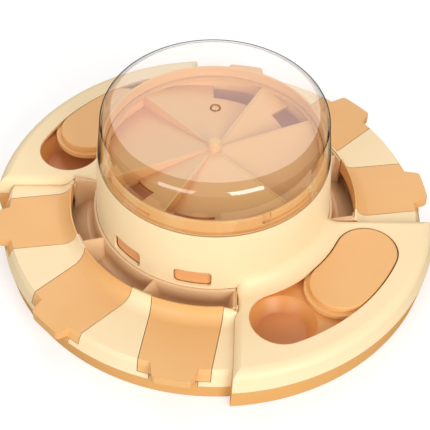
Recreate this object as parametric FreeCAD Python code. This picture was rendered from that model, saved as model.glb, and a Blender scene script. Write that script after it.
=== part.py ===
import FreeCAD, Part
import math
import os

# Rotary treat puzzle for pets, millimetres, +Z up, origin at the bottom centre

# walls and running gaps
SKIN = 2.2
PAN_WALL = 2.4
PAN_FLOOR = 2.2
MOVE_GAP = 0.3
REST_GAP = 0.15
RUN_FIT = 0.05

# heights of the base, from the foot up
FOOT_DROP = 0.4
FLOOR_Z = FOOT_DROP + PAN_FLOOR
DS_SEAM_Z = 13.0
DS_TOP_Z = DS_SEAM_Z + 11.2
DS_BEVEL_Z = DS_TOP_Z - 3.2
KID_SEAM_Z = DS_SEAM_Z + 3.7
KID_TOP_Z = DS_TOP_Z + 6.0
KID_BEVEL_Z = KID_TOP_Z - 4.6
KID_UNDER_Z = KID_TOP_Z - SKIN
DS_UNDER_Z = DS_TOP_Z - SKIN
DRUM_TOP_Z = KID_TOP_Z + 44.1

# drum and the cove at its foot
DRUM_TOP_R = 74.9
DRUM_SLOPE = 0.052
DRUM_WALL = 2.0
DRUM_EDGE = 0.6
DRUM_LOW_Z = DS_SEAM_Z + 1.0
COVE_R = 9.7
COVE_START_R = DRUM_TOP_R + DRUM_SLOPE * (DRUM_TOP_Z - KID_TOP_Z - COVE_R)
COVE_END_R = COVE_START_R + COVE_R
WIN_LOW = KID_TOP_Z + 1.3
WIN_HIGH = WIN_LOW + 12.0
WIN_HALF = 12.0
WIN_CORNER = 2.6

# radii from the drum outwards: slot, raised section, door section
SLOT_HALF = 20.5
SLOT_R = COVE_END_R + 1.41 + SLOT_HALF
KID_FLAT_R = SLOT_R + SLOT_HALF + 9.7
KID_BEVEL_R = KID_FLAT_R + 6.2
KID_R_SEAM = KID_BEVEL_R + 2.6
KID_R_LOW = KID_R_SEAM - 2.3
DS_R_SEAM = KID_R_SEAM - 7.7
DS_R_LOW = DS_R_SEAM - 2.0
DS_FLAT_R = DS_R_SEAM - 4.8
DS_BEVEL_R = DS_FLAT_R + 2.0

# ends of the raised sections
KID_AXIS = 315.1
END_DIR = 46.2
END_OFFSET = 15.7
END_DRAFT = 3.0
END_ROUND = 5.2
END_ROUND_IN = 1.5
END_LAND = 9.74
SLOT_SPAN = END_DIR - math.degrees(math.asin((END_OFFSET + END_LAND + SLOT_HALF) / SLOT_R))

# coved rim and the trough beside the drum
RIM_R = DRUM_TOP_R + 19.1
RIM_Z = DS_TOP_Z + 9.0
RIM_FLAT = 0.9
RIM_COVE = 9.0
RIM_FADE = 8.0
TROUGH_SKIN = 1.8
TROUGH_FLOOR_Z = DS_SEAM_Z - 4.5
TROUGH_WALL_Z = KID_TOP_Z - 0.8
TROUGH_OUT_R = DS_FLAT_R - 8.5
TROUGH_OUT_Z = DS_SEAM_Z + 2.0
TROUGH_SLOPE_R = RIM_R + 4.0
GABLE_HALF = 6.5
GABLE_LOW_Z = TROUGH_FLOOR_Z + 0.5
GABLE_TOP_Z = RIM_Z - 1.2

# doors
DOOR_FIRST = 9.1
DOOR_PITCH = 36.0
DOOR_AXES = [DOOR_FIRST + turn + DOOR_PITCH * k for turn in (180.0, 0.0) for k in range(3)]
RIB_AXES = [DOOR_FIRST + turn + DOOR_PITCH * (k + 0.5) for turn in (0.0, 180.0) for k in range(2)]
DOOR_HALF = 22.3
DOOR_GAP = 0.35
BAY_HALF = DOOR_HALF + DOOR_GAP
LIP_Z = DS_TOP_Z - 8.0
TAB_LOW_Z = LIP_Z + 1.0
TAB_TIP_R = DS_R_SEAM + 5.0
TAB_ROOT_HALF = DOOR_HALF - 7.7
TAB_TIP_HALF = TAB_ROOT_HALF - 2.4
TAB_SKIN = 2.4
NOTCH_HALF = TAB_ROOT_HALF + 0.6

# slide rails under the doors and the shelves that hold them down
RAIL_Y = DOOR_HALF - 4.1
RAIL_LOW_Z = LIP_Z + 2.0
HOOK_Y = DOOR_HALF - 1.3
HOOK_TOP_Z = RAIL_LOW_Z + 0.9
SHELF_Y = RAIL_Y + 0.4
SHELF_LOW_Z = HOOK_TOP_Z + MOVE_GAP
SHELF_START = RIM_R + 7.0
SHELF_END = DS_FLAT_R - 3.3
SILL_START = TROUGH_OUT_R + 1.1
SILL_END = DS_FLAT_R - 1.6

# tray, cups and slider of a curved slot
TRAY_FLOOR_Z = KID_TOP_Z - 6.2
TRAY_SKIN = 1.3
TRAY_IN = SLOT_HALF + 3.0
TRAY_OUT = TRAY_IN + 1.2
CUP_MOUTH_R = SLOT_HALF + 1.1
CUP_FLOOR_R = SLOT_HALF - 5.4
CUP_FLOOR_Z = TRAY_FLOOR_Z - 8.5
CUP_EDGE = 1.0
STEM_R = 5.0
SLIDER_LOW_Z = TRAY_FLOOR_Z + MOVE_GAP
FLANGE_HALF = TRAY_IN - 0.6
FLANGE_TOP_Z = KID_UNDER_Z - 0.4
HAT_HALF = SLOT_HALF - 0.9
HAT_TOP_Z = KID_TOP_Z + 1.2
HAT_ROUND = 1.0
SLIDER_SPAN = 8.85
SLIDER_END_GAP = 0.2
BACK_SLIDER_TURN = 12.05

# barrel, neck and lid
BARREL_GAP = 0.5
BARREL_WALL = 1.8
BARREL_FLOOR_Z = WIN_LOW - 3.5
NECK_SKIRT_IN = DRUM_TOP_R - 6.5
NECK_IN = NECK_SKIRT_IN + 1.4
NECK_OUT = NECK_IN + 2.0
NECK_SKIRT_LOW = DRUM_TOP_Z - 8.3
NECK_LEDGE_Z = DRUM_TOP_Z + 0.3
NECK_FLANGE_R = NECK_OUT + 2.1
NECK_FLANGE_LOW = NECK_LEDGE_Z + 0.1
NECK_FLANGE_TOP = NECK_FLANGE_LOW + 0.8
NECK_TOP_Z = NECK_LEDGE_Z + 10.0
TRACK_DEPTH = 1.2
TRACK_LOW = NECK_FLANGE_TOP + 1.5
TRACK_TOP = TRACK_LOW + 2.6
LUG_ANGLES = [297.0 + 90.0 * k for k in range(4)]
LID_R_LOW = NECK_OUT + 2.6
LID_R_TOP = LID_R_LOW - 2.5
LID_TOP_Z = DRUM_TOP_Z + 36.7
LID_ROUND = 8.6
LID_WALL = 1.3

# ramp plate in the neck
RIDGE_Z = NECK_LEDGE_Z + 2.4
RIDGE_ANGLES = [24.5, 62.6, 134.5, 204.5, 242.6, 314.5]
RAMP_DROP = 11.0
RAMP_R = NECK_SKIRT_IN - 0.3
PLATE_R = NECK_IN - 0.4
PLATE_SKIN = 1.8
RAMP_HOLES = {24.5: (52.0, 19.0), 62.6: (54.5, 27.3), 204.5: (52.0, 19.0), 242.6: (54.5, 27.3)}
RIDGE_WALL = 1.5
HUB_R = 4.4

# pivot, screws and feet
POST_R = 7.0
SHOULDER_R = 11.0
POST_FLARE = 7.0
HUB_RISE = 9.0
SHOULDER_Z = BARREL_FLOOR_Z - MOVE_GAP
POST_TOP_Z = BARREL_FLOOR_Z + HUB_RISE + MOVE_GAP
PIN_R = 1.3
SCREW_R = 1.2
SCREW_HEAD_R = 2.8
SCREW_SEAT_Z = FLOOR_Z + 1.2
BOSS_Z = FLOOR_Z + 5.0
SCREW_TOP_Z = BOSS_Z + 9.0
FOOT_R = 8.0
FOOT_SINK = 1.0
FOOT_RING_R = 118.0

# reach of the cutting shapes
FAR_R = KID_R_SEAM + 20.0
FAR_Z = DRUM_TOP_Z


def vec(x, y, z):
    return FreeCAD.Vector(x, y, z)


UP = vec(0, 0, 1)
ZERO = vec(0, 0, 0)


def face_rz(items):
    edges = []
    start = items[0]
    last = start
    for item in items[1:]:
        if isinstance(item[0], tuple):
            mid, end = item
            arc = Part.Arc(vec(last[0], 0, last[1]), vec(mid[0], 0, mid[1]), vec(end[0], 0, end[1]))
            edges.append(arc.toShape())
            last = end
        else:
            edges.append(Part.makeLine(vec(last[0], 0, last[1]), vec(item[0], 0, item[1])))
            last = item
    edges.append(Part.makeLine(vec(last[0], 0, last[1]), vec(start[0], 0, start[1])))
    return Part.Face(Part.Wire(edges))


# quarter round from start to end inside a corner, as a middle point and an end point
def round_to(start, corner, end):
    part = 1.0 - math.sqrt(0.5)
    mid = tuple(c + (s + e - 2.0 * c) * part for s, c, e in zip(start, corner, end))
    return (mid, end)


def lathe(items, start=0.0, sweep=360.0):
    solid = face_rz(items).revolve(ZERO, UP, sweep)
    solid.rotate(ZERO, UP, start)
    return solid


def ring(r0, r1, z0, z1, start=0.0, sweep=360.0):
    return lathe([(r0, z0), (r1, z0), (r1, z1), (r0, z1)], start, sweep)


def disc(r, z0, z1, x=0.0, y=0.0):
    return Part.makeCylinder(r, z1 - z0, vec(x, y, z0))


def turned(shape, angle):
    out = shape.copy()
    out.rotate(ZERO, UP, angle)
    return out


def polar(r, angle):
    return r * math.cos(math.radians(angle)), r * math.sin(math.radians(angle))


def block(x0, x1, y0, y1, z0, z1):
    return Part.makeBox(x1 - x0, y1 - y0, z1 - z0, vec(x0, y0, z0))


# block between two radii, placed on the side given by sign
def side_block(x0, x1, sign, y0, y1, z0, z1):
    low, high = sorted((sign * y0, sign * y1))
    return block(x0, x1, low, high, z0, z1)


def prism(points, z0, z1):
    loop = [vec(p[0], p[1], z0) for p in points]
    loop.append(loop[0])
    return Part.Face(Part.makePolygon(loop)).extrude(vec(0, 0, z1 - z0))


def both(shape):
    return [shape, turned(shape, 180.0)]


def join(first, others):
    return first.fuse(others).removeSplitter()


def one(shape):
    solids = shape.Solids
    if len(solids) > 1:
        print("loose pieces left out:", [round(s.Volume) for s in solids])
    return max(solids, key=lambda s: s.Volume)


# curved slot outline with round ends
def bean(a0, a1, half, z0, z1):
    body = ring(SLOT_R - half, SLOT_R + half, z0, z1, a0, a1 - a0)
    caps = [disc(half, z0, z1, *polar(SLOT_R, a)) for a in (a0, a1)]
    return join(body, caps)


# everything beyond one end plane of a raised section, moved inward by inset
def end_cut(side, inset):
    if side > 0:
        cut = block(-FAR_R, 2.0 * FAR_R, -inset, 2.0 * FAR_R, -FAR_Z, 2.0 * FAR_Z)
    else:
        cut = block(-FAR_R, 2.0 * FAR_R, -2.0 * FAR_R, inset, -FAR_Z, 2.0 * FAR_Z)
    cut.rotate(ZERO, vec(1, 0, 0), side * END_DRAFT)
    cut.translate(vec(0, -side * END_OFFSET, 0))
    return turned(cut, KID_AXIS + side * END_DIR)


# raised section: a profile turned round the drum and cut off at both ends
def kidney(items, inset):
    body = lathe(items, KID_AXIS - 60.0, 120.0)
    return body.cut([end_cut(1, inset), end_cut(-1, inset)])


def kidney_pair(items, inset):
    return both(kidney(items, inset))


def kidney_rooms(z0, z1, inset):
    return kidney_pair([(60.0, z0), (FAR_R, z0), (FAR_R, z1), (60.0, z1)], inset)


# rounds the straight top edges at the two ends of a raised section
def round_ends(body, z, size):
    edges = []
    for edge in body.Edges:
        middle = edge.CenterOfMass
        ends = [v.Point for v in edge.Vertexes]
        flat = all(abs(p.z - z) < 0.01 for p in ends)
        if flat and edge.Curve.TypeId == "Part::GeomLine" and math.hypot(middle.x, middle.y) > COVE_END_R:
            edges.append(edge)
    return body.makeFillet(size, edges)


def drum_r(z):
    return DRUM_TOP_R + DRUM_SLOPE * (DRUM_TOP_Z - z)


def screw_spots():
    spots = [polar(DS_FLAT_R - 3.6, a) + (DS_UNDER_Z,) for a in RIB_AXES]
    for turn in (0.0, 180.0):
        spots += [polar(KID_FLAT_R - 1.5, KID_AXIS + turn + a) + (KID_UNDER_Z,) for a in (-18.0, 18.0)]
    return spots


def foot_spots():
    return [polar(FOOT_RING_R, 15.0 + 60.0 * k) for k in range(6)]


# base pan
def make_pan():
    seam_in = DS_R_SEAM - PAN_WALL
    wing_in_r = KID_R_SEAM - PAN_WALL
    wing_start = DS_FLAT_R - 6.8
    outer = lathe([(0, FOOT_DROP), (DS_R_LOW, FOOT_DROP), (DS_R_SEAM, DS_SEAM_Z), (0, DS_SEAM_Z)])
    wing = [(wing_start, FOOT_DROP), (KID_R_LOW, FOOT_DROP), (KID_R_SEAM, KID_SEAM_Z), (wing_start, KID_SEAM_Z)]
    outer = outer.fuse(kidney_pair(wing, 0.0))
    hollow = lathe([(0, FLOOR_Z), (DS_R_LOW - PAN_WALL, FLOOR_Z), (seam_in, DS_SEAM_Z), (seam_in, KID_SEAM_Z + 1.0),
                    (0, KID_SEAM_Z + 1.0)])
    wing_in = [(0, FLOOR_Z), (KID_R_LOW - PAN_WALL, FLOOR_Z), (wing_in_r, KID_SEAM_Z), (wing_in_r, KID_TOP_Z),
               (0, KID_TOP_Z)]
    pan = outer.cut(hollow.fuse(kidney_pair(wing_in, PAN_WALL)))
    adds = [lathe([(0, FLOOR_Z - 1.0), (SHOULDER_R + POST_FLARE, FLOOR_Z - 1.0), (SHOULDER_R + POST_FLARE, FLOOR_Z),
                   (SHOULDER_R, FLOOR_Z + POST_FLARE), (SHOULDER_R, SHOULDER_Z), (POST_R, SHOULDER_Z),
                   (POST_R, POST_TOP_Z), (0, POST_TOP_Z)])]
    adds += [disc(SCREW_HEAD_R + 1.8, FLOOR_Z - 1.0, BOSS_Z, x, y) for x, y, top in screw_spots()]
    for a in DOOR_AXES:
        strip = ring(seam_in, DS_R_SEAM - MOVE_GAP, DS_SEAM_Z - 1.0, LIP_Z, a - 10.0, 20.0)
        sides = block(TROUGH_OUT_R, FAR_R, -NOTCH_HALF + MOVE_GAP, NOTCH_HALF - MOVE_GAP, 0.0, KID_TOP_Z)
        adds.append(strip.common(turned(sides, a)))
    pan = join(pan, adds)
    cuts = [disc(PIN_R, POST_TOP_Z - 16.0, POST_TOP_Z + 1.0)]
    for x, y, top in screw_spots():
        cuts.append(disc(SCREW_R + 0.5, 0.0, BOSS_Z + 1.0, x, y))
        cuts.append(disc(SCREW_HEAD_R + 0.4, 0.0, SCREW_SEAT_Z, x, y))
    cuts += [disc(FOOT_R + 0.2, 0.0, FOOT_DROP + FOOT_SINK, x, y) for x, y in foot_spots()]
    return one(pan.cut(cuts))


# door section skin: flat top, outer bevel and the coved rim beside the trough
def door_skin():
    cove_in = (RIM_R + RIM_FLAT, RIM_Z)
    cove_out = (RIM_R + RIM_FLAT + RIM_COVE, DS_TOP_Z)
    return [
        (RIM_R, DS_UNDER_Z),
        (RIM_R, RIM_Z),
        cove_in,
        round_to(cove_in, (cove_in[0], DS_TOP_Z), cove_out),
        (DS_FLAT_R, DS_TOP_Z),
        (DS_BEVEL_R, DS_BEVEL_Z),
        (DS_R_SEAM, DS_SEAM_Z),
        (DS_R_SEAM - PAN_WALL, DS_SEAM_Z),
        (DS_BEVEL_R - 1.9, DS_BEVEL_Z - 1.0),
        (DS_FLAT_R - 1.1, DS_UNDER_Z),
    ]


# rounded window through a wall that faces the given angle
def window_cut(angle, z0, z1, half):
    body = block(NECK_SKIRT_IN - 8.0, RIM_R, -half, half, z0, z1)
    edges = [e for e in body.Edges if abs(e.tangentAt(e.FirstParameter).x) > 0.99]
    return turned(body.makeFillet(WIN_CORNER, edges), angle)


# one raised section with its cove against the drum
def make_wing():
    inner_r = DRUM_TOP_R - 5.0
    hollow_r = drum_r(KID_TOP_Z) + 2.4
    cove_top = (COVE_START_R, KID_TOP_Z + COVE_R)
    cove_end = (COVE_END_R, KID_TOP_Z)
    outside = [
        (inner_r, KID_SEAM_Z),
        (inner_r, cove_top[1]),
        cove_top,
        round_to(cove_top, (COVE_START_R, KID_TOP_Z), cove_end),
        (KID_FLAT_R, KID_TOP_Z),
        ((KID_FLAT_R + 3.8, KID_TOP_Z - 1.6), (KID_BEVEL_R, KID_BEVEL_Z)),
        (KID_R_SEAM, KID_SEAM_Z),
    ]
    inside = [
        (hollow_r, 0.0),
        (hollow_r, KID_UNDER_Z),
        (KID_FLAT_R - 0.6, KID_UNDER_Z),
        (KID_BEVEL_R - 2.3, KID_BEVEL_Z - 0.8),
        (KID_R_SEAM - PAN_WALL, KID_SEAM_Z),
        (KID_R_SEAM - PAN_WALL, 0.0),
    ]
    shell = round_ends(kidney(outside, 0.0), KID_TOP_Z, END_ROUND)
    room = round_ends(kidney(inside, SKIN), KID_UNDER_Z, END_ROUND_IN)
    return shell.cut(room)


# wedges that let the coved rim run down to the raised sections
def rim_fades():
    drop = RIM_Z - KID_TOP_Z + 1.2
    cuts = []
    for side in (1, -1):
        wall = -side * END_OFFSET
        face = Part.Face(Part.makePolygon([
            vec(RIM_R - 3.0, wall + side * RIM_FADE, RIM_Z),
            vec(RIM_R - 3.0, wall - side * 2.0, RIM_Z - drop),
            vec(RIM_R - 3.0, wall - side * 2.0, RIM_Z + 1.0),
            vec(RIM_R - 3.0, wall + side * RIM_FADE, RIM_Z + 1.0),
            vec(RIM_R - 3.0, wall + side * RIM_FADE, RIM_Z)]))
        wedge = face.extrude(vec(RIM_COVE + 4.0, 0, 0))
        cuts += both(turned(wedge, KID_AXIS + side * END_DIR))
    return cuts


# rails, sills and shelves that carry one door
def bay_parts():
    parts = [block(SILL_START, SILL_END, -BAY_HALF - 0.5, BAY_HALF + 0.5, TROUGH_OUT_Z, LIP_Z + 0.6)]
    for s in (1, -1):
        parts.append(side_block(SHELF_START, SHELF_END, s, BAY_HALF, BAY_HALF + SKIN, TROUGH_OUT_Z, DS_TOP_Z - 0.6))
        parts.append(side_block(SHELF_START, SHELF_END, s, SHELF_Y, BAY_HALF + 0.5, SHELF_LOW_Z,
                                DS_UNDER_Z - MOVE_GAP))
    return parts


def make_drum():
    top_r = drum_r(DRUM_TOP_Z)
    edge_in = (top_r - DRUM_EDGE, DRUM_TOP_Z)
    edge_out = (drum_r(DRUM_TOP_Z - DRUM_EDGE), DRUM_TOP_Z - DRUM_EDGE)
    return lathe([
        (top_r - DRUM_WALL, DRUM_TOP_Z),
        edge_in,
        round_to(edge_in, (top_r, DRUM_TOP_Z), edge_out),
        (drum_r(DRUM_LOW_Z), DRUM_LOW_Z),
        (drum_r(DRUM_LOW_Z) - DRUM_WALL, DRUM_LOW_Z),
    ])


def make_cover():
    skin = lathe(door_skin())
    skin = skin.cut(kidney_rooms(KID_SEAM_Z, DRUM_TOP_Z, 1.0) + kidney_rooms(0.0, KID_SEAM_Z, 0.0))
    cover = skin.fuse(both(make_wing()) + [make_drum()])
    cuts = rim_fades()
    for a in DOOR_AXES:
        cuts.append(turned(block(RIM_R - 6.0, FAR_R, -BAY_HALF, BAY_HALF, LIP_Z, DRUM_TOP_Z), a))
        cuts.append(turned(block(SILL_START, FAR_R, -NOTCH_HALF, NOTCH_HALF, 0.0, DRUM_TOP_Z), a))
    for c in cuts:
        cover = cover.cut(c)
    adds = [turned(part, a) for a in DOOR_AXES for part in bay_parts()]
    adds += [disc(SCREW_R + 2.1, BOSS_Z, top + 0.5, x, y) for x, y, top in screw_spots()]
    cover = join(cover, adds)
    low_in = drum_r(DRUM_LOW_Z) - DRUM_WALL
    inner_r = DRUM_TOP_R - DRUM_WALL
    cuts = [lathe([(0, DRUM_LOW_Z), (low_in, DRUM_LOW_Z), (inner_r, DRUM_TOP_Z), (0, DRUM_TOP_Z)])]
    for a in (KID_AXIS, KID_AXIS - 180.0):
        cuts.append(bean(a - SLOT_SPAN, a + SLOT_SPAN, SLOT_HALF, KID_UNDER_Z - 4.0, KID_TOP_Z + 9.0))
    cuts += [window_cut(a, WIN_LOW, WIN_HIGH, WIN_HALF) for a in DOOR_AXES]
    cuts += [disc(SCREW_R - 0.1, BOSS_Z - 1.0, top - 1.5, x, y) for x, y, top in screw_spots()]
    for c in cuts:
        cover = cover.cut(c)
    return one(cover.removeSplitter())


# roof shaped divider between two door bays, or half of one against a raised section
def gable(low_half, high_half, centre):
    sections = []
    for r, low, high, half in ((drum_r(DRUM_LOW_Z) - 1.0, TROUGH_FLOOR_Z + 5.0, TROUGH_WALL_Z - 1.0, low_half),
                               (RIM_R - REST_GAP, GABLE_LOW_Z, GABLE_TOP_Z, high_half)):
        sections.append(Part.makePolygon([
            vec(r, centre - half, low), vec(r, centre + half, low), vec(r, centre + 0.6, high),
            vec(r, centre - 0.6, high), vec(r, centre - half, low)]))
    return Part.makeLoft(sections, True, True)


# trough floors under the doors, with gabled dividers
def make_troughs():
    wall_in = drum_r(TROUGH_WALL_Z) + REST_GAP
    foot_in = drum_r(DRUM_LOW_Z) + REST_GAP
    out_in = TROUGH_OUT_R - TROUGH_SKIN
    under_z = TROUGH_FLOOR_Z - TROUGH_SKIN
    curb = (foot_in + 1.8, TROUGH_FLOOR_Z + 11.5)
    curb_end = (foot_in + 5.9, TROUGH_FLOOR_Z + 7.7)
    body = lathe([
        (wall_in, TROUGH_WALL_Z),
        (wall_in + 1.4, TROUGH_WALL_Z - 0.4),
        curb,
        ((curb[0] + 1.0, curb[1] - 2.6), curb_end),
        (TROUGH_SLOPE_R, TROUGH_FLOOR_Z),
        (out_in, TROUGH_FLOOR_Z),
        (out_in, TROUGH_OUT_Z),
        (TROUGH_OUT_R, TROUGH_OUT_Z),
        (TROUGH_OUT_R, FLOOR_Z),
        (out_in, FLOOR_Z),
        (out_in, under_z),
        (TROUGH_SLOPE_R - 0.4, under_z),
        (curb_end[0] - 0.4, curb_end[1] - TROUGH_SKIN),
        (foot_in, curb_end[1] + 1.0),
    ])
    back_r = RIM_R - REST_GAP
    inside = disc(back_r, 0.0, DRUM_TOP_Z)
    adds = []
    for a in RIB_AXES:
        adds.append(turned(gable(GABLE_HALF, GABLE_HALF + 0.4, 0.0), a))
        adds.append(ring(back_r - 1.1, back_r, GABLE_LOW_Z, GABLE_TOP_Z + 0.4, a - 4.0, 8.0))
        adds.append(turned(block(back_r - 1.0, TROUGH_OUT_R - 1.0, -1.0, 1.0, under_z + 0.9, DS_UNDER_Z - 0.1), a))
    for side in (1, -1):
        end_angle = KID_AXIS + side * END_DIR
        half_gable = gable(GABLE_HALF, GABLE_HALF + 0.4, -side * (END_OFFSET + 0.6)).common(inside)
        back = ring(back_r - 1.1, back_r, GABLE_LOW_Z, GABLE_TOP_Z - 2.4, -side * 9.6 - 2.9, 5.8)
        adds += both(turned(half_gable, end_angle)) + both(turned(back, end_angle))
    body = body.fuse(adds)
    under = lathe([
        (60.0, 0.0),
        (60.0, DRUM_TOP_Z),
        (drum_r(DRUM_TOP_Z) + REST_GAP, DRUM_TOP_Z),
        (foot_in, DRUM_LOW_Z),
        (foot_in, curb_end[1] + 1.0),
        (curb_end[0] - 0.4, curb_end[1] - TROUGH_SKIN),
        (TROUGH_SLOPE_R - 0.4, under_z),
        (out_in, under_z),
        (out_in, 0.0),
    ])
    body = body.cut([under] + kidney_rooms(-5.0, DRUM_TOP_Z, -0.4))
    for a in DOOR_AXES:
        bay = block(RIM_R - 3.0, FAR_R, -BAY_HALF - 0.3, BAY_HALF + 0.3, TROUGH_OUT_Z + 0.3, DRUM_TOP_Z)
        body = body.cut(turned(bay, a))
    return sorted([s for s in body.Solids if s.Volume > 200.0], key=lambda s: s.CenterOfMass.y)


# pull tab outline, from the door's front edge to the round tip
def tab_face():
    tip = math.sqrt(TAB_TIP_R ** 2 - TAB_TIP_HALF ** 2)
    half = [
        (DS_FLAT_R - 3.8, TAB_ROOT_HALF),
        (DS_FLAT_R + 0.4, TAB_ROOT_HALF),
        (DS_FLAT_R + 2.2, TAB_ROOT_HALF - 0.7),
        (tip - 1.6, TAB_TIP_HALF + 0.2),
        (tip - 0.4, TAB_TIP_HALF - 0.5),
        (tip + 0.3, TAB_TIP_HALF - 1.9),
    ]
    left = [vec(x, -y, TAB_LOW_Z) for x, y in half]
    right = [vec(x, y, TAB_LOW_Z) for x, y in reversed(half)]
    edges = [Part.makeLine(a, b) for a, b in zip(left, left[1:])]
    edges.append(Part.Arc(left[-1], vec(TAB_TIP_R, 0.0, TAB_LOW_Z), right[0]).toShape())
    edges += [Part.makeLine(a, b) for a, b in zip(right, right[1:] + left[:1])]
    return Part.Face(Part.Wire(edges))


# sliding door with its pull tab, rails and hooks
def make_door(angle):
    skin = lathe(door_skin(), -30.0, 60.0)
    body = skin.common(block(RIM_R - 6.0, FAR_R, -DOOR_HALF, DOOR_HALF, LIP_Z + MOVE_GAP, DRUM_TOP_Z))
    tab = tab_face().extrude(vec(0, 0, DS_TOP_Z - TAB_LOW_Z))
    root_in = TAB_ROOT_HALF - 2.0
    tip_in = TAB_TIP_HALF - 2.0
    start = DS_FLAT_R - 6.8
    end = TAB_TIP_R - TAB_SKIN
    under = prism([(start, -root_in), (DS_FLAT_R, -root_in), (end, -tip_in), (end, tip_in), (DS_FLAT_R, root_in),
                   (start, root_in)], 0.0, DS_UNDER_Z)
    body = body.fuse(tab).cut(under)
    body = body.cut(block(start - 8.0, DS_FLAT_R - 1.1, -DOOR_HALF, DOOR_HALF, 0.0, DS_UNDER_Z))
    adds = []
    for s in (1, -1):
        adds.append(side_block(RIM_R + 10.0, RIM_R + 30.0, s, RAIL_Y - 2.3, RAIL_Y, RAIL_LOW_Z, DS_TOP_Z - 0.5))
        adds.append(side_block(RIM_R + 10.0, RIM_R + 18.0, s, RAIL_Y - 1.2, HOOK_Y, RAIL_LOW_Z, HOOK_TOP_Z))
    return turned(one(join(body, adds)), angle)


# tray with two cups for one curved slot
def make_tray(axis):
    a0 = axis - SLOT_SPAN
    a1 = axis + SLOT_SPAN
    low = TRAY_FLOOR_Z - TRAY_SKIN
    tray = bean(a0, a1, TRAY_OUT, low, KID_UNDER_Z).cut(bean(a0, a1, TRAY_IN, TRAY_FLOOR_Z, KID_TOP_Z))
    under_z = CUP_FLOOR_Z - TRAY_SKIN
    bowl = lathe([
        (0.0, FLOOR_Z),
        (STEM_R, FLOOR_Z),
        (STEM_R, under_z),
        (CUP_FLOOR_R + 0.4, under_z),
        (CUP_FLOOR_R + 3.6, CUP_FLOOR_Z + 1.5),
        (CUP_MOUTH_R + TRAY_SKIN, low),
        (CUP_MOUTH_R + TRAY_SKIN, TRAY_FLOOR_Z),
        (0.0, TRAY_FLOOR_Z),
    ])
    mouth_out = (CUP_MOUTH_R + CUP_EDGE, TRAY_FLOOR_Z)
    mouth_in = (CUP_MOUTH_R, TRAY_FLOOR_Z - CUP_EDGE)
    wall_low = (CUP_FLOOR_R + 1.5, CUP_FLOOR_Z + 1.1)
    cup = lathe([
        (0.0, CUP_FLOOR_Z),
        (CUP_FLOOR_R, CUP_FLOOR_Z),
        round_to((CUP_FLOOR_R, CUP_FLOOR_Z), (wall_low[0] - 0.4, CUP_FLOOR_Z), wall_low),
        mouth_in,
        ((CUP_MOUTH_R + 0.35, TRAY_FLOOR_Z - 0.3), mouth_out),
        (0.0, TRAY_FLOOR_Z),
    ])
    hole = lathe([(0.0, FLOOR_Z - 1.0), (STEM_R - 1.8, FLOOR_Z - 1.0), (STEM_R - 1.8, under_z - 1.0), (0.0, under_z)])
    places = [vec(*polar(SLOT_R, a), 0) for a in (a0, a1)]
    tray = join(tray, [bowl.translated(p) for p in places])
    tray = tray.cut([cup.translated(p) for p in places] + [hole.translated(p) for p in places])
    return one(tray.removeSplitter())


# sliding cover for one slot: a flange under the cover's edge and a hat that fills the slot
def make_slider(rest):
    a0 = rest - SLIDER_SPAN
    a1 = rest + SLIDER_SPAN
    flange = bean(a0, a1, FLANGE_HALF, SLIDER_LOW_Z, FLANGE_TOP_Z)
    hat = bean(a0, a1, HAT_HALF, FLANGE_TOP_Z - 1.0, HAT_TOP_Z)
    rims = [e for e in hat.Edges if all(abs(v.Point.z - HAT_TOP_Z) < 0.01 for v in e.Vertexes)]
    hat = hat.makeFillet(HAT_ROUND, rims)
    room = bean(a0, a1, HAT_HALF - 1.9, SLIDER_LOW_Z - 1.0, FLANGE_TOP_Z + 1.2)
    return one(join(flange, [hat]).cut(room))


# barrel that turns inside the drum
def make_barrel():
    def wall_r(z):
        return drum_r(z) - DRUM_WALL - BARREL_GAP
    low = BARREL_FLOOR_Z
    top = DRUM_TOP_Z
    skin_z = low + SKIN + 0.2
    body = lathe([
        (0.0, low),
        (wall_r(low), low),
        (wall_r(top), top),
        (wall_r(top) - BARREL_WALL, top),
        (wall_r(low + 4.0) - BARREL_WALL, low + 4.0),
        (wall_r(low + 3.0) - BARREL_WALL - 1.0, skin_z),
        (POST_R + 9.0, low + 5.5),
        (POST_R + 6.0, low + HUB_RISE),
        (0.0, low + HUB_RISE),
    ])
    hollow = lathe([(POST_R + 5.0, low - 1.0), (50.0, low - 1.0), (50.0, low + 1.2), (POST_R + 5.0, low + 3.6)])
    cuts = [hollow, disc(POST_R + RUN_FIT, low - 1.0, low + HUB_RISE + 1.0)]
    cuts += [window_cut(a, WIN_LOW + 0.5, WIN_HIGH + 2.0, WIN_HALF + 1.0) for a in (KID_AXIS, KID_AXIS - 180.0)]
    return one(body.cut(cuts))


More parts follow.
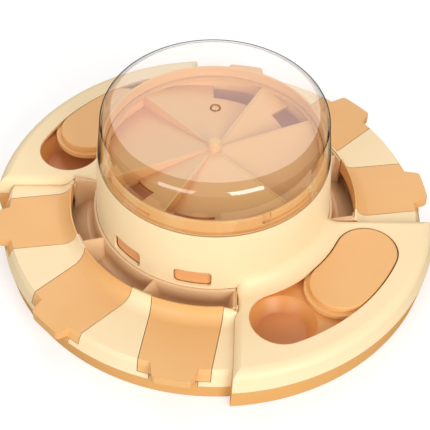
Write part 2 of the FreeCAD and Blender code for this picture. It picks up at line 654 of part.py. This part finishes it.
def make_neck():
    skirt_out = drum_r(DRUM_TOP_Z) - DRUM_WALL - BARREL_GAP - BARREL_WALL
    edge_low = (NECK_OUT, NECK_TOP_Z - TRACK_DEPTH)
    edge_top = (NECK_OUT - TRACK_DEPTH, NECK_TOP_Z)
    body = lathe([
        (NECK_SKIRT_IN, NECK_SKIRT_LOW),
        (skirt_out, NECK_SKIRT_LOW),
        (skirt_out, DRUM_TOP_Z),
        (skirt_out + 1.5, DRUM_TOP_Z),
        (skirt_out + 1.5, NECK_FLANGE_LOW),
        (NECK_FLANGE_R, NECK_FLANGE_LOW),
        (NECK_FLANGE_R, NECK_FLANGE_TOP),
        (NECK_OUT, NECK_FLANGE_TOP),
        edge_low,
        round_to(edge_low, (NECK_OUT, NECK_TOP_Z), edge_top),
        (NECK_IN + 0.5, NECK_TOP_Z),
        (NECK_IN, NECK_TOP_Z - 0.5),
        (NECK_IN, NECK_LEDGE_Z),
        (NECK_SKIRT_IN, NECK_LEDGE_Z),
    ])
    cuts = []
    for a in LUG_ANGLES:
        cuts.append(ring(NECK_OUT - TRACK_DEPTH, NECK_OUT + 1.0, TRACK_LOW, NECK_TOP_Z + 1.0, a - 2.2, 4.4))
        cuts.append(ring(NECK_OUT - TRACK_DEPTH, NECK_OUT + 1.0, TRACK_LOW, TRACK_TOP, a - 2.2, 33.0))
    return one(body.cut(cuts))


# ramp plate: six sectors that run down to the wall under the next ridge
def make_plate():
    count = len(RIDGE_ANGLES)
    low_z = RIDGE_Z - RAMP_DROP - 2.4
    parts = [disc(HUB_R + 0.8, low_z, RIDGE_Z)]
    for i, a0 in enumerate(RIDGE_ANGLES):
        a1 = RIDGE_ANGLES[(i + 1) % count]
        span = (a1 - a0) % 360.0
        reach = RAMP_R * math.sin(math.radians(min(span, 90.0)))
        slab = block(-FAR_R, FAR_R, -FAR_R, 0.6, -PLATE_SKIN, 0.0)
        slab.rotate(ZERO, vec(1, 0, 0), math.degrees(math.atan(RAMP_DROP / reach)))
        slab.rotate(ZERO, UP, a1)
        slab.translate(vec(0, 0, RIDGE_Z))
        ramp = ring(HUB_R - 0.4, RAMP_R, low_z - 6.0, RIDGE_Z, a0, span).common(slab)
        if a0 in RAMP_HOLES:
            inner, sweep = RAMP_HOLES[a0]
            ramp = ramp.cut(ring(inner, FAR_R, 0.0, RIDGE_Z + 5.0, a0 + 1.5, sweep))
        parts.append(ramp)
        parts.append(turned(block(HUB_R - 1.4, RAMP_R, -RIDGE_WALL, 0.0, low_z, RIDGE_Z), a0))
    rim = ring(RAMP_R - 1.0, PLATE_R, NECK_LEDGE_Z, RIDGE_Z)
    body = join(rim, parts)
    return one(body.cut(disc(PIN_R, low_z + 3.0, RIDGE_Z + 1.0)))


def make_hub():
    top = RIDGE_Z + 6.5
    body = lathe([
        (0.0, RIDGE_Z),
        (HUB_R, RIDGE_Z),
        (HUB_R - 0.2, top - 1.5),
        ((HUB_R - 0.7, top - 0.4), (HUB_R - 1.8, top)),
        (0.0, top + 0.2),
    ])
    return join(body, [disc(PIN_R, RIDGE_Z - 9.0, RIDGE_Z + 0.5)])


def make_lid():
    low = NECK_FLANGE_TOP + MOVE_GAP
    side_z = LID_TOP_Z - LID_ROUND
    inner_r = LID_R_TOP - LID_WALL
    under_z = LID_TOP_Z - LID_WALL
    side_out = (LID_R_TOP, side_z)
    top_out = (LID_R_TOP - LID_ROUND, LID_TOP_Z)
    top_in = (LID_R_TOP - LID_ROUND, under_z)
    side_in = (inner_r, side_z)
    body = lathe([
        (LID_R_LOW - LID_WALL, low),
        (LID_R_LOW, low),
        side_out,
        round_to(side_out, (LID_R_TOP, LID_TOP_Z), top_out),
        (3.6, LID_TOP_Z),
        (3.2, LID_TOP_Z + 0.7),
        (2.4, LID_TOP_Z + 0.7),
        (2.2, LID_TOP_Z - 0.2),
        (0.0, LID_TOP_Z - 0.2),
        (0.0, under_z),
        top_in,
        round_to(top_in, (inner_r, under_z), side_in),
    ])
    lug_in = NECK_OUT - TRACK_DEPTH + 0.35
    lugs = [ring(lug_in, LID_R_LOW - LID_WALL + 0.3, TRACK_LOW + 0.4, TRACK_TOP - 0.4, a - 1.7, 3.4)
            for a in LUG_ANGLES]
    return one(join(body, lugs))


def make_washer():
    return ring(PIN_R + 0.4, POST_R + 3.5, POST_TOP_Z, POST_TOP_Z + 0.8)


def make_pivot_screw():
    top = POST_TOP_Z + 0.8
    body = lathe([(0.0, POST_TOP_Z - 14.0), (PIN_R, POST_TOP_Z - 14.0), (PIN_R, top), (3.4, top), (3.0, top + 1.4),
                  (1.6, top + 2.0), (0.0, top + 2.0)])
    slot = block(-2.2, 2.2, -0.4, 0.4, top + 1.0, top + 3.0)
    return one(body.cut([slot, turned(slot, 90.0)]))


def make_cover_screws():
    head_z = SCREW_SEAT_Z - 1.6
    hole_r = SCREW_R - 0.1
    out = []
    for x, y, top in screw_spots():
        body = lathe([(0.0, head_z), (SCREW_HEAD_R, head_z), (SCREW_HEAD_R, SCREW_SEAT_Z), (hole_r, SCREW_SEAT_Z),
                      (hole_r, SCREW_TOP_Z), (0.0, SCREW_TOP_Z + 1.0)])
        slot = block(-1.7, 1.7, -0.35, 0.35, head_z - 0.5, head_z + 0.8)
        body = body.cut([slot, turned(slot, 90.0)])
        body.translate(vec(x, y, 0))
        out.append(body)
    return out


def make_feet():
    foot = lathe([(0.0, 0.0), (FOOT_R - 0.6, 0.0), (FOOT_R, FOOT_DROP), (FOOT_R, FOOT_DROP + FOOT_SINK),
                  (0.0, FOOT_DROP + FOOT_SINK)])
    return [foot.translated(vec(x, y, 0)) for x, y in foot_spots()]


def save(name, shape):
    shape.exportStep("parts/" + name + ".step")
    print(name, len(shape.Solids), shape.isValid(), round(shape.Volume))


os.makedirs("parts", exist_ok=True)

save("base_pan", make_pan())
save("top_cover", make_cover())
troughs = make_troughs()
save("trough_front", troughs[0])
save("trough_back", troughs[-1])
save("bean_tray_front", make_tray(KID_AXIS))
save("bean_tray_back", make_tray(KID_AXIS - 180.0))
parked = SLOT_SPAN - SLIDER_END_GAP - SLIDER_SPAN
save("bean_slider_front", make_slider(KID_AXIS + parked))
save("bean_slider_back", make_slider(KID_AXIS - 180.0 - parked + BACK_SLIDER_TURN))
for number, axis in enumerate(DOOR_AXES):
    save("door_" + str(number + 1), make_door(axis))
save("barrel", make_barrel())
save("neck_ring", make_neck())
save("ramp_plate", make_plate())
save("hub_knob", make_hub())
save("clear_lid", make_lid())
save("pivot_washer", make_washer())
save("pivot_screw", make_pivot_screw())
save("cover_screws", Part.makeCompound(make_cover_screws()))
save("rubber_feet", Part.makeCompound(make_feet()))
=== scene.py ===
import math

import bmesh
import bpy
from mathutils import Matrix, Vector


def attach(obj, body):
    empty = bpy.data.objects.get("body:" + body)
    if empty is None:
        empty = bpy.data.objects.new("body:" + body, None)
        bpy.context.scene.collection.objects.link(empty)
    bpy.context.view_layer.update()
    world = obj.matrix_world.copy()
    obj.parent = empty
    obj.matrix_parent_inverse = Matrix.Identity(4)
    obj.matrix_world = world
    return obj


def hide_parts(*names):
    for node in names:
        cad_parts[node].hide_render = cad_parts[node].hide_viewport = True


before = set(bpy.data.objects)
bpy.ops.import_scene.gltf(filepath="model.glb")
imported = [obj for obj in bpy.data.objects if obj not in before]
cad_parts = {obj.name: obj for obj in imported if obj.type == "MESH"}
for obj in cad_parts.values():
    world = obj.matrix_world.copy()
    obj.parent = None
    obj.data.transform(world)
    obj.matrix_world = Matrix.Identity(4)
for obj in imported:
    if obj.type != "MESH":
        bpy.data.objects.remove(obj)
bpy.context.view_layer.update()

MM = 0.001

# linear colour from three levels of 0 to 255, by the display's own curve
FULL_LEVEL = 255.0
STRAIGHT_END = 0.04045
STRAIGHT_SLOPE = 12.92
CURVE_OFFSET = 0.055
CURVE_POWER = 2.4


def lin(r, g, b):
    out = []
    for level in (r, g, b):
        c = level / FULL_LEVEL
        curved = ((c + CURVE_OFFSET) / (1.0 + CURVE_OFFSET)) ** CURVE_POWER
        out.append(c / STRAIGHT_SLOPE if c <= STRAIGHT_END else curved)
    return (out[0], out[1], out[2], 1.0)


# socket that is linked to another one, or set to a number or colour
def feed(tree, socket, value):
    if isinstance(value, bpy.types.NodeSocket):
        tree.links.new(value, socket)
    else:
        socket.default_value = value


# clamped math node with two inputs
def math_node(tree, kind, a, b):
    n = tree.nodes.new("ShaderNodeMath")
    n.operation = kind
    n.use_clamp = True
    feed(tree, n.inputs[0], a)
    feed(tree, n.inputs[1], b)
    return n.outputs[0]


# material helpers: bounds of a crevice for the painted shade, samples of the ray nodes, colour sockets of
# the mix node
OPEN_ALONE = (0.1, 0.55)
OPEN_TO_ALL = (0.2, 0.8)
CLOSE_SAMPLES = 6
BEVEL_SAMPLES = 4
MIX_FIRST = 6
MIX_SECOND = 7
MIX_RESULT = 2


class Tree:
    def __init__(self, name):
        self.mat = bpy.data.materials.new(name)
        self.mat.use_nodes = True
        self.nt = self.mat.node_tree
        self.nt.nodes.clear()
        self.out = self.nt.nodes.new("ShaderNodeOutputMaterial")
        self.coord = self.nt.nodes.new("ShaderNodeTexCoord")

    def principled(self):
        shader = self.nt.nodes.new("ShaderNodeBsdfPrincipled")
        self.link(shader.outputs[0], self.out.inputs["Surface"])
        return shader

    def link(self, a, b):
        self.nt.links.new(a, b)

    def noise(self, scale, detail=2.0, rough=0.5):
        n = self.nt.nodes.new("ShaderNodeTexNoise")
        n.inputs["Scale"].default_value = scale
        n.inputs["Detail"].default_value = detail
        n.inputs["Roughness"].default_value = rough
        self.link(self.coord.outputs["Object"], n.inputs["Vector"])
        return n.outputs["Fac"]

    def height(self):
        n = self.nt.nodes.new("ShaderNodeSeparateXYZ")
        self.link(self.coord.outputs["Object"], n.inputs[0])
        return n.outputs["Z"]

    # a value between start and end, spread over the range from low to high
    def spread(self, value, low, high, start=0.3, end=0.7):
        n = self.nt.nodes.new("ShaderNodeMapRange")
        n.inputs["From Min"].default_value = start
        n.inputs["From Max"].default_value = end
        n.inputs["To Min"].default_value = low
        n.inputs["To Max"].default_value = high
        self.link(value, n.inputs["Value"])
        return n.outputs["Result"]

    def mix(self, fac, a, b):
        n = self.nt.nodes.new("ShaderNodeMix")
        n.data_type = "RGBA"
        feed(self.nt, n.inputs[0], fac)
        feed(self.nt, n.inputs[MIX_FIRST], a)
        feed(self.nt, n.inputs[MIX_SECOND], b)
        return n.outputs[MIX_RESULT]

    def bump(self, height, strength, distance, normal=None):
        n = self.nt.nodes.new("ShaderNodeBump")
        n.inputs["Strength"].default_value = strength
        n.inputs["Distance"].default_value = distance
        self.link(height, n.inputs["Height"])
        if normal is not None:
            self.link(normal, n.inputs["Normal"])
        return n.outputs["Normal"]

    def bevel(self, radius):
        n = self.nt.nodes.new("ShaderNodeBevel")
        n.samples = BEVEL_SAMPLES
        n.inputs["Radius"].default_value = radius
        return n.outputs["Normal"]

    # painted shade mask: 1 in a crevice and 0 in the open, where alone means that only the same piece counts
    def painted_shade_mask(self, reach, alone):
        n = self.nt.nodes.new("ShaderNodeAmbientOcclusion")
        n.samples = CLOSE_SAMPLES
        n.only_local = alone
        n.inputs["Distance"].default_value = reach
        open_low, open_high = OPEN_ALONE if alone else OPEN_TO_ALL
        return self.spread(n.outputs["AO"], 1.0, 0.0, open_low, open_high)


# moulded satin plastic: broad tone drift, fine grain, rounded edges, painted shade in seams and crevices,
# and painted shade towards the bottom where it is given
BROAD_SCALE = 9.0
BROAD_ROUGH = 0.55
DRIFT_SCALE = 38.0
DRIFT_DOWN = 0.035
DRIFT_UP = 0.05
GRAIN_ROUGH = 0.6
GRAIN_DEPTH = 0.00012
SHADE_REACH = 1.6
PLASTIC_IOR = 1.49
PLASTIC_SPECULAR = 0.42


def plastic(name, base, shade, rough, edge=0.5, grain=1900.0, relief=0.05, depth_shade=None, crevice_shade=None, alone=True):
    t = Tree(name)
    s = t.principled()
    broad = t.noise(BROAD_SCALE, detail=3.0, rough=BROAD_ROUGH)
    colour = t.mix(t.spread(broad, 0.0, 1.0), base, shade)
    if depth_shade is not None:
        tone, low, high = depth_shade
        # painted shade: the colour darkens towards the bottom of the piece, for the shade in its hollows
        colour = t.mix(t.spread(t.height(), 1.0, 0.0, low * MM, high * MM), colour, tone)
    if crevice_shade is not None:
        # painted shade: the colour darkens in crevices and between parts, where the occlusion node finds
        # close surfaces
        colour = t.mix(t.painted_shade_mask(SHADE_REACH * MM, alone), colour, crevice_shade)
    t.link(colour, s.inputs["Base Color"])
    fine = t.noise(grain, rough=GRAIN_ROUGH)
    drift = t.noise(DRIFT_SCALE)
    t.link(t.spread(drift, rough - DRIFT_DOWN, rough + DRIFT_UP), s.inputs["Roughness"])
    t.link(t.bump(fine, relief, GRAIN_DEPTH, t.bevel(edge * MM)), s.inputs["Normal"])
    s.inputs["IOR"].default_value = PLASTIC_IOR
    s.inputs["Specular IOR Level"].default_value = PLASTIC_SPECULAR
    return t.mat


# thin clear plastic that doesn't bend the view: a mirror at grazing angles and a painted dark outline where
# thick plastic would bend the view
RIPPLE_SCALE = 14.0
RIPPLE_STRENGTH = 0.03
RIPPLE_DEPTH = 0.0004
FACING_BLEND = 0.5
SHINE_POWER = 4.0
SHINE_GROWTH = 0.9
SHINE_LEAST = 0.1
MIRROR_ROUGH = 0.02
PAINTED_OUTLINE_TONE = (0.07, 0.07, 0.1, 1.0)
OUTLINE_DULL = 0.8


def clear(name, tint, dark_from, dark_to):
    t = Tree(name)
    ripple = t.bump(t.noise(RIPPLE_SCALE, detail=1.0), RIPPLE_STRENGTH, RIPPLE_DEPTH)
    angle = t.nt.nodes.new("ShaderNodeLayerWeight")
    angle.inputs["Blend"].default_value = FACING_BLEND
    t.link(ripple, angle.inputs["Normal"])
    grazing = math_node(t.nt, "POWER", angle.outputs["Facing"], SHINE_POWER)
    shine = math_node(t.nt, "ADD", math_node(t.nt, "MULTIPLY", grazing, SHINE_GROWTH), SHINE_LEAST)
    # painted shade: the see-through colour turns dark towards the edge, in place of the view that thick
    # plastic bends there
    painted_outline = t.spread(angle.outputs["Facing"], 0.0, 1.0, dark_from, dark_to)
    side = t.nt.nodes.new("ShaderNodeNewGeometry")
    outside = math_node(t.nt, "SUBTRACT", 1.0, side.outputs["Backfacing"])
    see = t.nt.nodes.new("ShaderNodeBsdfTransparent")
    t.link(t.mix(painted_outline, tint, PAINTED_OUTLINE_TONE), see.inputs["Color"])
    mirror = t.nt.nodes.new("ShaderNodeBsdfGlossy")
    mirror.inputs["Roughness"].default_value = MIRROR_ROUGH
    t.link(ripple, mirror.inputs["Normal"])
    both = t.nt.nodes.new("ShaderNodeMixShader")
    inner = math_node(t.nt, "SUBTRACT", 1.0, math_node(t.nt, "MULTIPLY", painted_outline, OUTLINE_DULL))
    share = math_node(t.nt, "MULTIPLY", math_node(t.nt, "MULTIPLY", shine, inner), outside)
    t.link(share, both.inputs[0])
    t.link(see.outputs[0], both.inputs[1])
    t.link(mirror.outputs[0], both.inputs[2])
    t.link(both.outputs[0], t.out.inputs["Surface"])
    return t.mat


# zinc coated steel with patches of tone and a fine uneven gloss
STEEL_LIGHT = lin(190, 190, 194)
STEEL_DARK = lin(160, 160, 166)
STEEL_BROAD = 300.0
STEEL_FINE = 900.0
STEEL_GLOSS = (0.22, 0.4)


def steel(name):
    t = Tree(name)
    s = t.principled()
    s.inputs["Metallic"].default_value = 1.0
    broad = t.noise(STEEL_BROAD, detail=3.0)
    t.link(t.mix(t.spread(broad, 0.0, 1.0), STEEL_LIGHT, STEEL_DARK), s.inputs["Base Color"])
    t.link(t.spread(t.noise(STEEL_FINE), *STEEL_GLOSS), s.inputs["Roughness"])
    return t.mat


# looks: a plastic has its two tones, its roughness and any painted shade in crevices and towards the bottom,
# a clear one its tint and where its painted dark outline begins
LID_TINT = (0.988, 0.984, 0.98, 1.0)
VENT_TINT = (0.72, 0.6, 0.5, 1.0)
CREAM = plastic("cream_plastic", lin(253, 229, 185), lin(251, 224, 178), 0.42,
                crevice_shade=lin(150, 92, 50), alone=False)
ORANGE = plastic("orange_plastic", lin(241, 186, 121), lin(237, 180, 113), 0.40, crevice_shade=lin(150, 92, 48))
NECK = plastic("neck_plastic", lin(244, 192, 128), lin(240, 186, 120), 0.40, crevice_shade=lin(110, 62, 28))
BARREL = plastic("barrel_plastic", lin(238, 176, 117), lin(233, 169, 109), 0.40,
                 crevice_shade=lin(120, 66, 32), alone=False)
PAN = plastic("pan_plastic", lin(242, 184, 112), lin(238, 178, 105), 0.42)
# the trays' cups and the plate's low ends get painted shade that darkens towards the bottom
TRAY = plastic("tray_plastic", lin(229, 161, 92), lin(225, 155, 86), 0.38,
               depth_shade=(lin(226, 151, 94), 15.2, 19.5))
TROUGH = plastic("trough_plastic", lin(240, 203, 158), lin(233, 193, 147), 0.40)
PLATE = plastic("plate_plastic", lin(234, 181, 112), lin(229, 174, 104), 0.38,
                depth_shade=(lin(233, 174, 112), 66.0, 75.5))
RUBBER = plastic("foot_rubber", lin(222, 214, 200), lin(214, 206, 192), 0.62,
                 edge=0.3, grain=900.0, relief=0.12)
CLEAR = clear("clear_plastic", LID_TINT, 0.85, 0.94)
# the shoulder's painted dark outline starts at smaller angles, a painted shade over its sides
SHOULDER = clear("clear_shoulder", LID_TINT, 0.6, 0.8)
VENT = clear("vent_plastic", VENT_TINT, 0.8, 0.9)
STEEL = steel("screw_steel")

DOORS = 6
LOOK = {
    "base_pan": PAN,
    "top_cover": CREAM,
    "trough_front": TROUGH,
    "trough_back": TROUGH,
    "bean_tray_front": TRAY,
    "bean_tray_back": TRAY,
    "bean_slider_front": ORANGE,
    "bean_slider_back": ORANGE,
    "barrel": BARREL,
    "neck_ring": NECK,
    "ramp_plate": PLATE,
    "hub_knob": PLATE,
    "clear_lid": CLEAR,
    "pivot_washer": STEEL,
    "pivot_screw": STEEL,
    "cover_screws": STEEL,
    "rubber_feet": RUBBER,
}
for number in range(1, DOORS + 1):
    LOOK["door_" + str(number)] = ORANGE

for name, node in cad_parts.items():
    for slot in node.material_slots:
        slot.material = LOOK[name]

# piece from a mesh under construction, smooth up to the sharp angle where one is given
SHARP_ANGLE = 32.0


def to_piece(name, bm, material, sharp=None):
    bmesh.ops.recalc_face_normals(bm, faces=bm.faces)
    if sharp is not None:
        for face in bm.faces:
            face.smooth = True
        for edge in bm.edges:
            if edge.calc_face_angle(0.0) > math.radians(sharp):
                edge.smooth = False
    mesh = bpy.data.meshes.new(name)
    bm.to_mesh(mesh)
    bm.free()
    mesh.materials.append(material)
    obj = bpy.data.objects.new(name, mesh)
    bpy.context.scene.collection.objects.link(obj)
    return obj


# closed turned piece from a profile of radius and height in millimetres
ON_AXIS = 1e-6
TURN_STEPS = 192


def turned_piece(name, profile, material, steps=TURN_STEPS):
    bm = bmesh.new()
    rings = []
    for r, z in profile:
        if r < ON_AXIS:
            rings.append([bm.verts.new((0.0, 0.0, z * MM))])
        else:
            ring = []
            for k in range(steps):
                a = 2.0 * math.pi * k / steps
                ring.append(bm.verts.new((r * MM * math.cos(a), r * MM * math.sin(a), z * MM)))
            rings.append(ring)
    for low, high in zip(rings, rings[1:] + rings[:1]):
        for k in range(steps):
            n = (k + 1) % steps
            corners = [low[k % len(low)], low[n % len(low)], high[n % len(high)], high[k % len(high)]]
            unique = list(dict.fromkeys(corners))
            if len(unique) > 2:
                bm.faces.new(unique)
    return to_piece(name, bm, material, SHARP_ANGLE)


# points of an arc about a centre, between two angles in degrees
def corner(r, z, radius, start, end, steps):
    out = []
    for k in range(steps + 1):
        a = math.radians(start + (end - start) * k / steps)
        out.append((r + radius * math.cos(a), z + radius * math.sin(a)))
    return out


# closed block between two sheets with as many corners each
def sheet_block(name, first, second, material):
    bm = bmesh.new()
    low = [bm.verts.new(p) for p in first]
    high = [bm.verts.new(p) for p in second]
    bm.faces.new(low)
    bm.faces.new(list(reversed(high)))
    for k in range(len(low)):
        n = (k + 1) % len(low)
        bm.faces.new([low[n], low[k], high[k], high[n]])
    return to_piece(name, bm, material)


# clear lid: side wall with a slight draft, rounded shoulder and a flat top with a small dimple
LID_LOW = 75.8
LID_TOP = 111.0
LID_R_LOW = 74.4
LID_R_TOP = 71.9
LID_ROUND = 8.6
LID_WALL = 1.3
LID_STEPS = 16
RIM_STEPS = 4
RIM_ROUND = 0.4
RIM_CHAMFER = 0.2
FLAT_MARGIN = 1.0
DIMPLE_R = 2.4
DIMPLE_SLOPE = 0.3
DIMPLE_DEPTH = 0.2


def make_lid():
    flat_r = LID_R_TOP - LID_ROUND
    side_z = LID_TOP - LID_ROUND
    inner_r = LID_R_LOW - LID_WALL
    dimple_z = LID_TOP - DIMPLE_DEPTH
    profile = [(inner_r, LID_LOW + RIM_CHAMFER), (inner_r + RIM_CHAMFER, LID_LOW)]
    profile += corner(LID_R_LOW - RIM_ROUND, LID_LOW + RIM_ROUND, RIM_ROUND, -90.0, 0.0, RIM_STEPS)
    profile += corner(flat_r, side_z, LID_ROUND, 0.0, 90.0, LID_STEPS)
    profile += [(flat_r - FLAT_MARGIN, LID_TOP), (DIMPLE_R, LID_TOP)]
    profile += [(DIMPLE_R - DIMPLE_SLOPE, dimple_z), (0.0, dimple_z)]
    profile += [(0.0, LID_TOP - LID_WALL), (flat_r - FLAT_MARGIN, LID_TOP - LID_WALL)]
    profile += corner(flat_r, side_z, LID_ROUND - LID_WALL, 90.0, 0.0, LID_STEPS)
    shell = turned_piece("lid_shell", profile, CLEAR)
    shell.data.materials.append(SHOULDER)
    # the shoulder's outer faces have a wider painted dark outline, a painted shade over the shoulder's sides
    for face in shell.data.polygons:
        out = max(math.hypot(face.center.x, face.center.y) / MM - flat_r, 0.0)
        rise = face.center.z / MM - side_z
        if rise > 0.0 and math.hypot(out, rise) > LID_ROUND - 0.5 * LID_WALL:
            face.material_index = 1
    return shell


# vent ring round the dimple, a hair above the lid's top
VENT_R = 2.9
VENT_WIDTH = (2.3, 3.5)
VENT_FOOT = 0.05
VENT_LIFT = 0.25
VENT_ROUND = 0.44
VENT_ARC = (10.0, 170.0)
VENT_STEPS = 10
VENT_TURN_STEPS = 64


def make_vent():
    foot = LID_TOP + VENT_FOOT
    profile = [(VENT_WIDTH[0], foot), (VENT_WIDTH[1], foot)]
    profile += corner(VENT_R, LID_TOP + VENT_LIFT, VENT_ROUND, *VENT_ARC, VENT_STEPS)
    return turned_piece("lid_vent", profile, VENT, VENT_TURN_STEPS)


# lugs inside the lid's rim, which stand in the neck's slots
LUGS = 4
LUG_FIRST = 297.0
LUG_HALF = 1.7
LUG_RADII = (70.95, 72.85)
LUG_HEIGHTS = (77.4, 79.2)


def make_lug(name, middle):
    inner, outer = LUG_RADII
    first, last = middle - LUG_HALF, middle + LUG_HALF
    sheets = []
    for z in LUG_HEIGHTS:
        sheet = []
        for r, a in ((inner, first), (outer, first), (outer, last), (inner, last)):
            turn = math.radians(a)
            sheet.append((r * MM * math.cos(turn), r * MM * math.sin(turn), z * MM))
        sheets.append(sheet)
    return sheet_block(name, sheets[0], sheets[1], CLEAR)


lid = make_lid()
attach(lid, "lid")
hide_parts("clear_lid")

vent = make_vent()
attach(vent, "lid")

for number in range(LUGS):
    lug = make_lug("lid_lug_" + str(number + 1), LUG_FIRST + 360.0 / LUGS * number)
    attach(lug, "lid")

# thin strips that close the slit between the trough's ends and the raised sections, which lean by a draft
SEAL_AXES = (315.1, 135.1)
SEAL_TURN = 46.2
SEAL_OFFSET = 15.7
SEAL_DRAFT = 3.0
SEAL_LEAN = math.tan(math.radians(SEAL_DRAFT))
SEAL_WIDTH = (-0.6, 0.38)
SEAL_FACE = ((75.6, 8.8), (92.4, 8.8), (92.4, 31.5), (75.6, 27.9))


def make_seal(name, axis, side):
    turn = Matrix.Rotation(math.radians(axis + side * SEAL_TURN), 4, "Z")
    sheets = []
    for depth in SEAL_WIDTH:
        sheet = []
        for x, z in SEAL_FACE:
            y = side * (depth - SEAL_OFFSET - SEAL_LEAN * z)
            sheet.append(turn @ Vector((x * MM, y * MM, z * MM)))
        sheets.append(sheet)
    return sheet_block(name, sheets[0], sheets[1], TROUGH)


for count, (axis, side) in enumerate(((a, s) for a in SEAL_AXES for s in (1.0, -1.0)), 1):
    seal = make_seal("trough_seal_" + str(count), axis, side)
    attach(seal, "base")

# camera at the photograph's place
EYE = Vector((0.0, -0.5794, 0.6372))
AIM = Vector((0.00149, -0.0001, 0.01424))
ROLL = math.radians(1.49)
LENS = 105.87
SENSOR = 36.0
CLIP_NEAR = 0.05
CLIP_FAR = 50.0


def make_camera():
    data = bpy.data.cameras.new("camera")
    data.lens = LENS
    data.sensor_width = SENSOR
    data.clip_start = CLIP_NEAR
    data.clip_end = CLIP_FAR
    camera = bpy.data.objects.new("camera", data)
    bpy.context.scene.collection.objects.link(camera)
    back = (EYE - AIM).normalized()
    side = Vector((0.0, 0.0, 1.0)).cross(back).normalized()
    up = back.cross(side)
    right = side * math.cos(ROLL) + up * math.sin(ROLL)
    over = up * math.cos(ROLL) - side * math.sin(ROLL)
    turn = Matrix((right, over, back)).transposed().to_4x4()
    camera.matrix_world = Matrix.Translation(EYE) @ turn
    bpy.context.scene.camera = camera


make_camera()

# floor: pale, with a glow that only the camera sees, and dark in reflections up to just behind the object
FLOOR_HALF = 6.0
FLOOR_TONE = 0.6
FLOOR_GLOW = 0.5
FLOOR_DARK = 0.05
DARK_FULL_Y = 0.16
DARK_GONE_Y = 0.26


def make_floor():
    mesh = bpy.data.meshes.new("floor")
    half = FLOOR_HALF
    corners = [(-half, -half, 0.0), (half, -half, 0.0), (half, half, 0.0), (-half, half, 0.0)]
    mesh.from_pydata(corners, [], [(0, 1, 2, 3)])
    floor = bpy.data.objects.new("floor", mesh)
    bpy.context.scene.collection.objects.link(floor)
    mat = bpy.data.materials.new("floor_card")
    mat.use_nodes = True
    nt = mat.node_tree
    nt.nodes.clear()
    out = nt.nodes.new("ShaderNodeOutputMaterial")
    diffuse = nt.nodes.new("ShaderNodeBsdfDiffuse")
    diffuse.inputs["Color"].default_value = (FLOOR_TONE, FLOOR_TONE, FLOOR_TONE, 1.0)
    glow = nt.nodes.new("ShaderNodeEmission")
    add = nt.nodes.new("ShaderNodeAddShader")
    path = nt.nodes.new("ShaderNodeLightPath")
    seen = math_node(nt, "MULTIPLY", path.outputs["Is Camera Ray"], FLOOR_GLOW)
    nt.links.new(seen, glow.inputs["Strength"])
    nt.links.new(diffuse.outputs[0], add.inputs[0])
    nt.links.new(glow.outputs[0], add.inputs[1])
    dark = nt.nodes.new("ShaderNodeBsdfDiffuse")
    dark.inputs["Color"].default_value = (FLOOR_DARK, FLOOR_DARK, FLOOR_DARK, 1.0)
    choice = nt.nodes.new("ShaderNodeMixShader")
    place = nt.nodes.new("ShaderNodeNewGeometry")
    split = nt.nodes.new("ShaderNodeSeparateXYZ")
    nt.links.new(place.outputs["Position"], split.inputs[0])
    near = nt.nodes.new("ShaderNodeMapRange")
    near.inputs["From Min"].default_value = DARK_FULL_Y
    near.inputs["From Max"].default_value = DARK_GONE_Y
    near.inputs["To Min"].default_value = 1.0
    near.inputs["To Max"].default_value = 0.0
    nt.links.new(split.outputs["Y"], near.inputs["Value"])
    reflected = math_node(nt, "MULTIPLY", near.outputs[0], path.outputs["Is Glossy Ray"])
    nt.links.new(reflected, choice.inputs[0])
    nt.links.new(add.outputs[0], choice.inputs[1])
    nt.links.new(dark.outputs[0], choice.inputs[2])
    nt.links.new(choice.outputs[0], out.inputs["Surface"])
    mesh.materials.append(mat)


make_floor()

# world: white where the camera sees it, and a softer warm white for everything else
SOFT_TONE = (1.0, 0.985, 0.965, 1.0)
SOFT_LEVEL = 0.52
BACK_TONE = (1.0, 1.0, 1.0, 1.0)
BACK_LEVEL = 1.0


def make_world():
    world = bpy.data.worlds.new("world")
    bpy.context.scene.world = world
    world.use_nodes = True
    nt = world.node_tree
    nt.nodes.clear()
    out = nt.nodes.new("ShaderNodeOutputWorld")
    choice = nt.nodes.new("ShaderNodeMixShader")
    path = nt.nodes.new("ShaderNodeLightPath")
    nt.links.new(path.outputs["Is Camera Ray"], choice.inputs[0])
    soft = (choice.inputs[1], SOFT_TONE, SOFT_LEVEL)
    white = (choice.inputs[2], BACK_TONE, BACK_LEVEL)
    for socket, tone, level in (soft, white):
        sheet = nt.nodes.new("ShaderNodeBackground")
        sheet.inputs["Color"].default_value = tone
        sheet.inputs["Strength"].default_value = level
        nt.links.new(sheet.outputs[0], socket)
    nt.links.new(choice.outputs[0], out.inputs["Surface"])


make_world()


# area lamp with its place, target, width and height in metres and its power in watts
def lamp(name, place, target, width, height, power):
    data = bpy.data.lights.new(name, "AREA")
    data.shape = "RECTANGLE"
    data.size = width
    data.size_y = height
    data.energy = power
    obj = bpy.data.objects.new(name, data)
    bpy.context.scene.collection.objects.link(obj)
    way = Vector(place) - Vector(target)
    turn = way.to_track_quat("Z", "Y").to_matrix().to_4x4()
    obj.matrix_world = Matrix.Translation(Vector(place)) @ turn


BODY = (0.0, 0.0, 0.03)
LID = (0.0, 0.0, 0.1)
BELOW = (0.0, 0.001, 0.0)
lamp("key", (1.36, -2.35, 1.27), BODY, 1.5, 1.5, 48.0)
lamp("fill", (-1.5, -2.25, 1.27), BODY, 1.6, 1.4, 24.0)
lamp("sky", (0.0, 1.15, 1.35), LID, 1.3, 0.9, 7.6)
# stands for the light that comes into the barrel through its windows
lamp("inside", (0.0, 0.0, 0.0605), BELOW, 0.09, 0.09, 0.014)

scene = bpy.context.scene
scene.view_settings.view_transform = "Standard"
